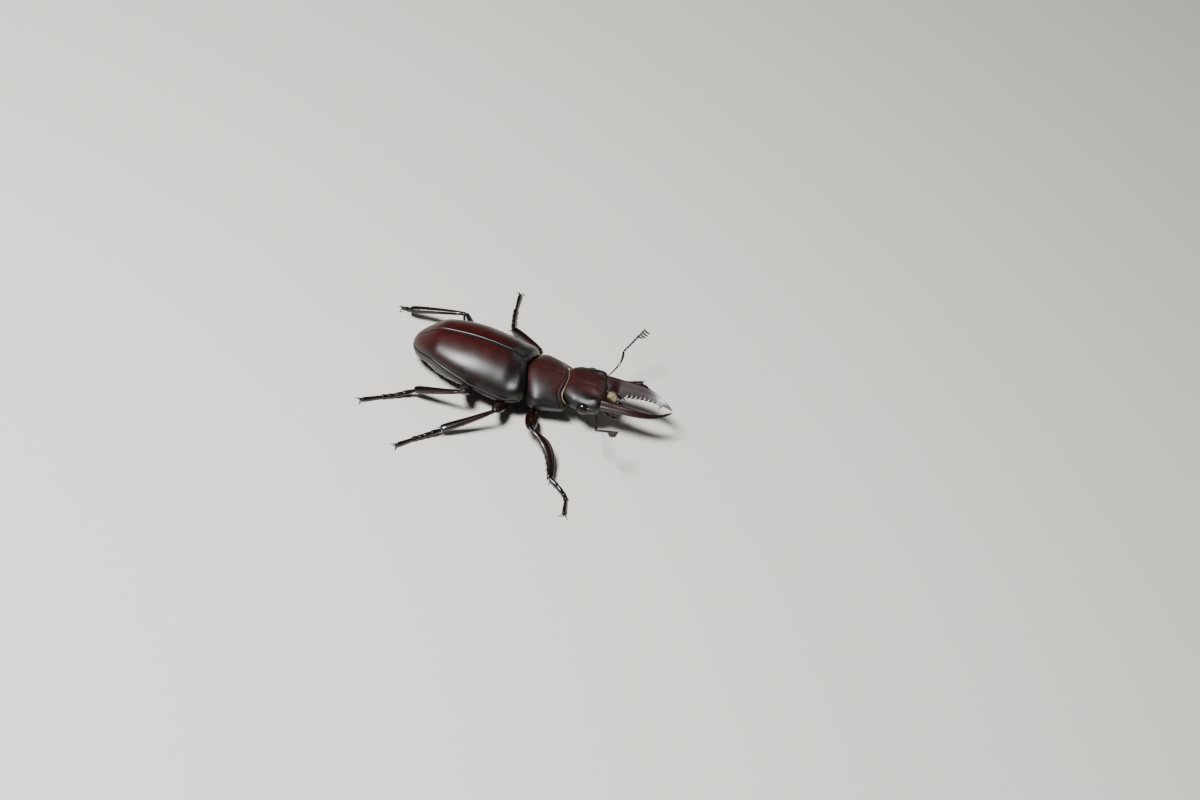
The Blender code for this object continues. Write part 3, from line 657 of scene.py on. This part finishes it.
PALPS = {"maxillary": [(2.0, -14.3, 3.9), (2.6, -15.3, 3.5), (2.95, -16.3, 3.2),
                       (2.6, -17.6, 2.9)],
         "labial": [(0.7, -14.2, 3.5), (1.1, -15.2, 3.0), (0.8, -16.2, 2.6)]}
for side_name, side in (("left", 1), ("right", -1)):
    for kind, joints in PALPS.items():
        palp = new_shell()
        for start, end in zip(joints, joints[1:]):
            start, end = [(side * x, y, z) for x, y, z in (start, end)]
            add_loft(palp, rod_between(start, end, (0.15, 0.22, 0.27)), 20, 20,
                     at_front)
        name = "palp_%s_%s" % (kind, side_name)
        add_piece(name + "_joints", palp, POLISHED_CHITIN, [name])

# LEGS.  Each leg is a hip ball let into the body, a stout thigh, a shin set with
# thorns, a foot of five joints and two hooked claws.  All are polished chitin tubes
# that meet in ball joints; the feet lie flat where they stand.

STANCE = {   # hip, knee, ankle and toe from the waist, and the foot's bow
    "front_left": ((4.7, -4.3, 1.5), (9.0, -11.3, 2.9), (12.5, -20.0, 1.5),
                   (10.3, -24.2), 0.7),
    "front_right": ((-4.9, -3.7, 1.5), (-11.5, -4.6, 3.7), (-18.5, -10.6, 1.4),
                    (-24.5, -14.9), 1.6),
    "middle_left": ((4.9, 2.2, 1.5), (9.6, -1.2, 2.9), (14.0, 4.9, 1.5),
                    (25.0, 6.35), 0.2),
    "middle_right": ((-4.9, 1.3, 1.5), (-11.2, 2.1, 4.5), (-16.7, 9.4, 1.4),
                     (-23.1, 15.2), -0.3),
    "hind_left": ((5.0, 9.2, 1.5), (9.2, 13.4, 5.1), (9.0, 22.9, 1.8),
                  (10.3, 24.3), -1.5),
    "hind_right": ((-4.9, 8.2, 1.5), (-10.7, 8.1, 5.6), (-10.1, 16.2, 1.7),
                   (-15.7, 23.8), -0.2),
}
THIGH_HALF = (1.12, 0.86)
SHIN_HALF = 0.61
FOOT_HALF = 0.45
CLAW_REACH = 0.85

# The same chitin, polished by walking, thinner and so redder than the body's.  Its
# faint dents are about 0.2 mm across.
LEG_CHITIN = cuticle("polished_leg_chitin", "#040202", "#200704", grain_mm=0.22,
                     grain_depth=0.008, roughness=0.24)


def add_coxa(leg_name, hip):
    side = 1 if leg_name.endswith("left") else -1
    centre = hip - Vector((side * 1.35, 0, 0.15))

    def ball(t, angle):
        around = rounded(-math.cos(math.pi * t), 2.3)
        here = centre + Vector((-1.45 * math.cos(math.pi * t),
                                1.0 * around * math.cos(angle),
                                0.8 * around * math.sin(angle)))
        return here.x, here.y, here.z, 0.3
    coxa = new_shell()
    add_loft(coxa, ball, 32, 32)
    add_piece("coxa_%s_ball" % leg_name, coxa, LEG_CHITIN,
              ["coxa_" + leg_name])


def add_femur(leg_name, hip, knee):
    turn, length = limb_frame(hip, knee)

    def point(t, angle):
        along = -math.cos(math.pi * t)
        s = (1.0 + along) / 2
        swell = 0.5 + 0.5 * math.sin(math.pi * min(1.0, 0.12 + 0.8 * s)) ** 1.2
        swell *= rounded(along, 5.0)
        neck = 1.0 - 0.22 * hump(s - 0.16, 0.05)
        cleft = 0.16 * hump(s - 0.97, 0.10) * hump(math.sin(angle) + 1.0, 0.6)
        across, over = oval(angle, THIGH_HALF[0], THIGH_HALF[1], THIGH_HALF[1], 2.1)
        here = hip + turn @ Vector((across * swell * neck,
                                    over * (swell - cleft) * neck,
                                    mix(0.1, length + 0.12, s)))
        return here.x, here.y, here.z, 0.75 * hump(s - 0.5, 0.35)
    thigh = new_shell()
    add_loft(thigh, point, 60, 40)
    add_piece("femur_%s_thigh" % leg_name, thigh, LEG_CHITIN,
              ["femur_" + leg_name])


def shin_path(leg_name, knee, ankle):
    """Frame, length, outward sign and bow of a shin."""
    side = 1 if leg_name.endswith("left") else -1
    turn, length = limb_frame(knee, ankle)
    outside = 1 if turn.col[0].x * side > 0 else -1
    bow = (-1.6 if leg_name.startswith("front") else 0.15) * outside
    return turn, length, outside, bow


def add_tibia(leg_name, knee, ankle):
    front = leg_name.startswith("front")
    half = SHIN_HALF
    turn, length, outside, bow = shin_path(leg_name, knee, ankle)
    low, high = 0.05 / length, 1.0

    def spine(s, across, over):
        bent = bow * math.sin(math.pi * max(0.0, min(1.0, s)) ** 0.85)
        return knee + turn @ Vector((bent + across, over, length * s))

    def swell(s):
        if front:
            return 0.8 + 0.75 * smooth(0.05, 0.35, s) - 0.42 * smooth(0.45, 1.0, s)
        return mix(0.72, 1.22, smooth(0.0, 1.0, s)) - 0.10 * hump(s - 0.10, 0.06)

    def point(t, angle):
        along = -math.cos(math.pi * t)
        s = mix(low, high, (1.0 + along) / 2)
        size = half * swell(s) * rounded(along, 8.0)
        flutes = 1.0 - 0.05 * (0.5 + 0.5 * math.cos(6.0 * angle)) * smooth(0.1, 0.3, s)
        flat = 0.62 if front else 0.85
        across, over = oval(angle, size * flutes, size * flat * flutes,
                            size * flat * flutes, 2.4)
        here = spine(s, across, over)
        return here.x, here.y, here.z, 0.5 * (1.0 - smooth(0.6, 1.0, s))
    shin = new_shell()
    add_loft(shin, point, 90, 40)
    for s, reach in ((0.46, 0.15), (0.58, 0.2), (0.70, 0.25), (0.82, 0.3)) if front \
            else ((0.60, 0.35),):
        edge = half * swell(s)
        root = spine(s, 0.7 * edge * outside, 0)
        tip = spine(s + 0.045, (edge + reach) * outside, 0)
        add_thorn(shin, root, tip, 0.16 if front else 0.13)
    if front:
        add_thorn(shin, spine(0.95, 0.4 * half * outside, 0),
                  spine(1.06, 1.5 * half * outside, 0), 0.28)
        add_thorn(shin, spine(0.95, -0.5 * half * outside, 0),
                  spine(1.08, -1.1 * half * outside, 0), 0.16)
    else:
        for across, reach in ((1.0, 1.0), (-1.0, 1.0), (0.35, 0.75)):
            add_thorn(shin, spine(0.95, 0.6 * half * across, -0.1 * half),
                      spine(1.0 + 0.08 * reach, 1.3 * half * across, -0.3 * half),
                      0.17)
    add_piece("tibia_%s_shin" % leg_name, shin, LEG_CHITIN,
              ["tibia_" + leg_name])


def foot_path(ankle, toe, bow, t):
    flat = Vector((toe.x - ankle.x, toe.y - ankle.y, 0))
    sideways = Vector((-flat.y, flat.x, 0)).normalized() * bow
    height = mix(ankle.z * 0.8, FOOT_HALF * 0.84, smooth(0.0, 0.4, t))
    here = Vector((ankle.x, ankle.y, 0)) + flat * t + sideways * math.sin(math.pi * t)
    return here + Vector((0, 0, height))


def add_tarsus(leg_name, ankle, toe, bow):
    foot = new_shell()
    ends = (0.03, 0.21, 0.35, 0.48, 0.61, 1.0)
    for low, high in zip(ends, ends[1:]):
        start = foot_path(ankle, toe, bow, low - 0.035)
        end = foot_path(ankle, toe, bow, high)
        claw_joint = high == 1.0
        turn, length = limb_frame(start, end)

        def joint(t, angle):
            along = -math.cos(math.pi * t)
            s = (1.0 + along) / 2
            swell = mix(0.66, 1.0, smooth(0.0, 0.9, s ** 0.8))
            if claw_joint:
                swell = mix(0.62, 0.86, smooth(0.1, 1.0, s))
            size = FOOT_HALF * swell * rounded(along, 6.0)
            here = start + turn @ Vector((size * 1.05 * math.cos(angle),
                                          size * math.sin(angle), length * s))
            return here.x, here.y, max(0.0, here.z), 0.35
        add_loft(foot, joint, 26, 24)
    root = foot_path(ankle, toe, bow, 0.985)
    heading = (root - foot_path(ankle, toe, bow, 0.9)).normalized()
    level = Vector((-heading.y, heading.x, 0)).normalized()
    for side in (1, -1):
        def claw(t, angle):
            bend = math.radians(85) * t
            out = heading * math.sin(bend) + level * side * (1.0 - math.cos(bend))
            spine = root + out * CLAW_REACH + level * side * 0.10
            spine.z = mix(root.z, 0.06, t * t) + 0.20 * math.sin(math.pi * t)
            radius = 0.16 * (1.0 - t) ** 0.75 + 0.012
            ahead = heading * math.cos(bend) + level * side * math.sin(bend)
            beside = ahead.cross(Vector((0, 0, 1))).normalized()
            here = spine + beside * radius * math.cos(angle)
            here.z = max(0.0, here.z + radius * math.sin(angle))
            return here.x, here.y, here.z, 0.5 * (1.0 - t)
        add_loft(foot, claw, 24, 14)
    add_thorn(foot, root, root + heading * 0.55 - Vector((0, 0, 0.1)), 0.09)
    add_piece("tarsus_%s_foot" % leg_name, foot, LEG_CHITIN,
              ["tarsus_" + leg_name])


for leg_name, (hip, knee, ankle, toe, bow) in STANCE.items():
    hip, knee, ankle = Vector(hip), Vector(knee), Vector(ankle)
    toe = Vector((*toe, 0.0))
    add_coxa(leg_name, hip)
    add_femur(leg_name, hip, knee)
    add_tibia(leg_name, knee, ankle)
    add_tarsus(leg_name, ankle, toe, bow)

# FEELERS.  Each antenna has a long curved root joint, a whip of small beads and a
# club of four leaves that smell.  The root is polished, the leaves are felted with
# hairs too fine to see one by one.

FEELERS = {   # root in the turned head, elbow and tip, and the bow of the root joint
    "left": ((5.45, -14.2, 4.8), (9.98, -14.81, 9.0), (14.4, -17.1, 12.0),
             (0.8, -0.65, -0.2)),
    "right": ((-5.2, -13.7, 4.85), (-10.3, -15.0, 7.5), (-13.4, -18.7, 11.6),
              (-0.3, -0.3, 0.1))}
WHIP_BEADS = 6

# Felted chitin: grey-brown and dull, because its fine hairs scatter the light.  The
# hairs are about 0.005 mm thick and are drawn as a nap 0.10 mm across.
FELTED_CHITIN = cuticle("felted_grey_brown_chitin", "#15100d", "#33251f",
                        grain_mm=0.10, grain_depth=0.02, roughness=0.62)

for side_name, (root, elbow, tip, bow) in FEELERS.items():
    pivot = Vector((0.0, 0.0, MARGIN_Z))
    root = FRONT_TURN @ (Vector(root) - pivot) + pivot
    elbow, tip = Vector(elbow), Vector(tip)
    scape = new_shell()
    add_loft(scape, rod_between(root, elbow, (0.12, 0.17, 0.27), 6.0, 0.4,
                                Vector(bow)), 50, 24)
    add_piece("scape_%s_root" % side_name, scape, LEG_CHITIN,
              ["scape_" + side_name])
    whip = tip - elbow
    funicle = new_shell()
    for number in range(WHIP_BEADS):
        start = elbow + whip * mix(0.0, 0.66, number / WHIP_BEADS)
        end = elbow + whip * mix(0.0, 0.66, (number + 1.12) / WHIP_BEADS)
        grown = mix(0.20, 0.25, number / WHIP_BEADS)
        add_loft(funicle, rod_between(start, end, (0.12, grown, grown), 2.6), 16, 20)
    add_piece("funicle_%s_beads" % side_name, funicle, LEG_CHITIN,
              ["funicle_" + side_name])
    outward = whip.normalized()
    downwards = outward.cross(Vector((0, 0, 1))).normalized() * 0.8
    downwards = (downwards - Vector((0, 0, 0.5))).normalized()
    flank = outward.cross(downwards).normalized()
    club = new_shell()
    add_loft(club, rod_between(elbow + whip * 0.62, elbow + whip * 0.96,
                               (0.13, 0.15, 0.13), 4.0, 0.5), 16, 16)
    for number, reach in enumerate((0.85, 1.15, 1.25, 1.2)):
        stem = elbow + whip * mix(0.66, 0.93, number / 3)

        def leaf(t, angle):
            along = -math.cos(math.pi * t)
            s = (1.0 + along) / 2
            end = rounded(along, 3.0)
            wide = mix(0.20, 0.36, smooth(0.0, 0.6, s)) * end
            thick = mix(0.16, 0.13, s) * end
            here = stem + downwards * mix(-0.25, reach, s)
            here += outward * (0.55 * s * s + thick * math.cos(angle))
            here += flank * wide * math.sin(angle)
            return here.x, here.y, here.z, 0.5
        add_loft(club, leaf, 26, 22)
    add_piece("club_%s_leaves" % side_name, club, FELTED_CHITIN,
              ["club_" + side_name])

# HAIRS.  Golden hairs stand in rows along the front and back edges of the prothorax
# shield, in a brush on the upper lip, and in pads under the joints of the feet.  Each
# grows from its own pit, leans one way and comes to a point.

HAIR_PATCH = 0.003       # side of a tuft's place on the unwrapped skin, in UV units
FRONT_TUFTS = 300
BACK_TUFTS = 150
LIP_TUFTS = 150
PAD_TUFTS = 36

# Chitin hair, untanned and half clear: dull gold, brighter where light crosses it.  A
# real hair is about 0.01 mm thick and is drawn 0.04 mm thick so that it shows.
GOLDEN_HAIR = bpy.data.materials.new("golden_hair")
GOLDEN_HAIR.use_nodes = True
hair_surface = GOLDEN_HAIR.node_tree.nodes["Principled BSDF"]
hair_place = add_node(GOLDEN_HAIR.node_tree, "ShaderNodeTexCoord", {}, {})
hair_clouds = add_node(GOLDEN_HAIR.node_tree, "ShaderNodeTexNoise", {},
                       {"Vector": hair_place.outputs["Object"],
                        "Scale": 1.0 / (0.4 * MM)})
hair_colour = add_node(GOLDEN_HAIR.node_tree, "ShaderNodeMix", {"data_type": 'RGBA'},
                       {"Factor": hair_clouds.outputs["Fac"], "A": linear("#7a6543"),
                        "B": linear("#cfbd94")})
GOLDEN_HAIR.node_tree.links.new(hair_colour.outputs["Result"],
                                hair_surface.inputs["Base Color"])
hair_surface.inputs["Roughness"].default_value = 0.4
hair_surface.inputs["IOR"].default_value = 1.55


def add_tuft(coat, root, lean, length, place, unwrapped, chance):
    """Some hairs that spread from root along lean; unwrapped is the root's UV."""
    lean = Vector(lean).normalized()
    for number in range(4):
        away = Vector([chance.uniform(-1, 1) for axis in range(3)])
        foot = Vector(root) + 0.05 * away
        heading = (lean + 0.35 * away).normalized()
        beside = heading.cross(away).normalized()
        tall = length * chance.uniform(0.7, 1.1)
        first = len(coat["points"])
        for along, half in ((-0.1, 0.022), (0.35, 0.020), (0.7, 0.013)):
            spine = foot + heading * tall * along + away * 0.12 * tall * along ** 2
            for corner in range(3):
                turn = math.tau * corner / 3
                edge = beside * math.cos(turn) + heading.cross(beside) * math.sin(turn)
                coat["points"].append(place(spine + edge * half))
                coat["patches"].append((unwrapped, along, corner / 3))
        coat["points"].append(place(foot + heading * tall + away * 0.12 * tall))
        coat["patches"].append((unwrapped, 1.0, 0.5))
        for ring in (first, first + 3):
            for corner in range(3):
                after = (corner + 1) % 3
                coat["faces"].append((ring + corner, ring + after, ring + 3 + after,
                                      ring + 3 + corner))
        for corner in range(3):
            coat["faces"].append((first + 6 + corner, first + 6 + (corner + 1) % 3,
                                  first + 9))
        coat["faces"].append((first + 2, first + 1, first))


def add_coat(name, coat):
    """Makes the tufts an object, with each one's patch on the unwrapped skin."""
    coat["tones"] = [0.0] * len(coat["points"])
    piece = add_piece(name, coat, GOLDEN_HAIR)
    unwrap = piece.data.uv_layers.new(name="OFBake")
    for loop in piece.data.loops:
        (u, v), along, across = coat["patches"][loop.vertex_index]
        unwrap.data[loop.index].uv = (u + HAIR_PATCH * (across - 0.5),
                                      v + HAIR_PATCH * (along - 0.5))


def new_coat():
    return {"points": [], "patches": [], "faces": []}


chance = random.Random(46)
fringe = new_coat()
for number in range(FRONT_TUFTS):
    angle = math.radians(mix(14.0, 166.0, number / (FRONT_TUFTS - 1)))
    length = mix(0.14, 0.08, smooth(0.45, 0.9, abs(math.cos(angle))))
    for rim in (0.780, 0.800):
        x, y, z, tone = pronotum_point(rim, angle)
        add_tuft(fringe, (x, y, z), (0.0, -1.0, 0.10), length, at_front,
                 (angle / math.tau, rim), chance)
for number in range(BACK_TUFTS):
    angle = math.radians(mix(20.0, 160.0, number / (BACK_TUFTS - 1)))
    x, y, z, tone = pronotum_point(0.05, angle)
    add_tuft(fringe, (x, y, z), (0.0, 1.0, 0.15), 0.30, at_front,
             (angle / math.tau, 0.05), chance)
add_coat("prothorax_fringe", fringe)

brush = new_coat()
for number in range(LIP_TUFTS):
    t, angle = mix(0.45, 0.97, chance.random()), math.pi * chance.random()
    x, y, z, tone = lip_point(t, angle)
    add_tuft(brush, (x, y, z), (0.5 * x, -1.0, 0.0), 1.05, at_front,
             (angle / math.tau, t), chance)
add_coat("labrum_brush", brush)


def above_floor(point):
    """As at_waist, kept just over the floor."""
    return at_waist((point[0], point[1], max(0.01, point[2])))


pads = new_coat()
for leg, (_, _, ankle, toe, bow) in enumerate(STANCE.values()):
    ankle, toe = Vector(ankle), Vector((*toe, 0.0))
    for number in range(PAD_TUFTS):
        t = mix(0.08, 0.60, number / (PAD_TUFTS - 1))
        here = foot_path(ankle, toe, bow, t)
        ahead = (foot_path(ankle, toe, bow, t + 0.02) - here).normalized()
        here.z = max(0.12, here.z - 0.9 * FOOT_HALF)
        add_tuft(pads, here, ahead + Vector((0, 0, 0.1)), 0.34, above_floor,
                 ((leg + 0.5) / len(STANCE), t), chance)
add_coat("foot_pads", pads)

# FLOOR, LIGHT AND CAMERA.  A sheet of pale card under a broad soft lamp, seen from
# the beetle's right and above, with the camera rolled so that its head points down
# and to the right.

CARD_HALF = 900
ground = new_shell()
add_sheet(ground, lambda u, v: (mix(-CARD_HALF, CARD_HALF, u),
                                mix(-CARD_HALF, CARD_HALF, v), 0.0, 0.0), 1, 1)
floor_mesh = bpy.data.meshes.new("floor")
floor_mesh.from_pydata([tuple(point) for point in ground["points"]], [],
                       ground["faces"])
floor = bpy.data.objects.new("floor", floor_mesh)
bpy.context.scene.collection.objects.link(floor)
CARD = bpy.data.materials.new("pale_matt_card")
CARD.use_nodes = True
CARD.node_tree.nodes["Principled BSDF"].inputs["Base Color"].default_value = linear(
    "#cfcac2")
CARD.node_tree.nodes["Principled BSDF"].inputs["Roughness"].default_value = 0.9
floor_mesh.materials.append(CARD)


def add_lamp(name, direction, distance, size, watts):
    """A square soft box that looks at the beetle from direction."""
    lamp = bpy.data.lights.new(name, 'AREA')
    lamp.shape = 'SQUARE'
    lamp.size = size
    lamp.energy = watts
    holder = bpy.data.objects.new(name, lamp)
    direction = Vector(direction).normalized()
    holder.location = at_waist((0, 0, 5)) + direction * distance
    holder.rotation_euler = direction.to_track_quat('Z', 'Y').to_euler()
    bpy.context.scene.collection.objects.link(holder)


def towards(azimuth, elevation):
    """Direction from the beetle; azimuth 0 is its right, 90 its head."""
    flat = math.cos(math.radians(elevation))
    turn = math.radians(azimuth)
    return (-flat * math.cos(turn), -flat * math.sin(turn),
            math.sin(math.radians(elevation)))


add_lamp("key_softbox", towards(320, 57), distance=0.45, size=0.11, watts=5.4)
add_lamp("fill_softbox", towards(150, 35), distance=0.7, size=0.3, watts=0.35)
world = bpy.data.worlds.new("studio")
world.use_nodes = True
world.node_tree.nodes["Background"].inputs["Color"].default_value = linear("#e8ecf2")
world.node_tree.nodes["Background"].inputs["Strength"].default_value = 0.05
bpy.context.scene.world = world

CAMERA_ELEVATION = math.radians(41.0)
CAMERA_ROLL = math.radians(20.5)
CAMERA_DISTANCE = 410 * MM
AIM = at_waist((6.05, -13.9, 0.0))
back = Vector((-math.cos(CAMERA_ELEVATION), 0.0, math.sin(CAMERA_ELEVATION)))
level_right = Vector((0.0, -1.0, 0.0))
level_up = back.cross(level_right)
right = level_right * math.cos(CAMERA_ROLL) + level_up * math.sin(CAMERA_ROLL)
up = back.cross(right)
lens = bpy.data.cameras.new("camera")
lens.lens = 70.0
lens.sensor_width = 36.0
lens.clip_start = 0.01
lens.clip_end = 10.0
camera = bpy.data.objects.new("camera", lens)
camera.matrix_world = Matrix.Translation(AIM + back * CAMERA_DISTANCE) @ Matrix(
    (right, up, back)).transposed().to_4x4()
bpy.context.scene.collection.objects.link(camera)
bpy.context.scene.camera = camera
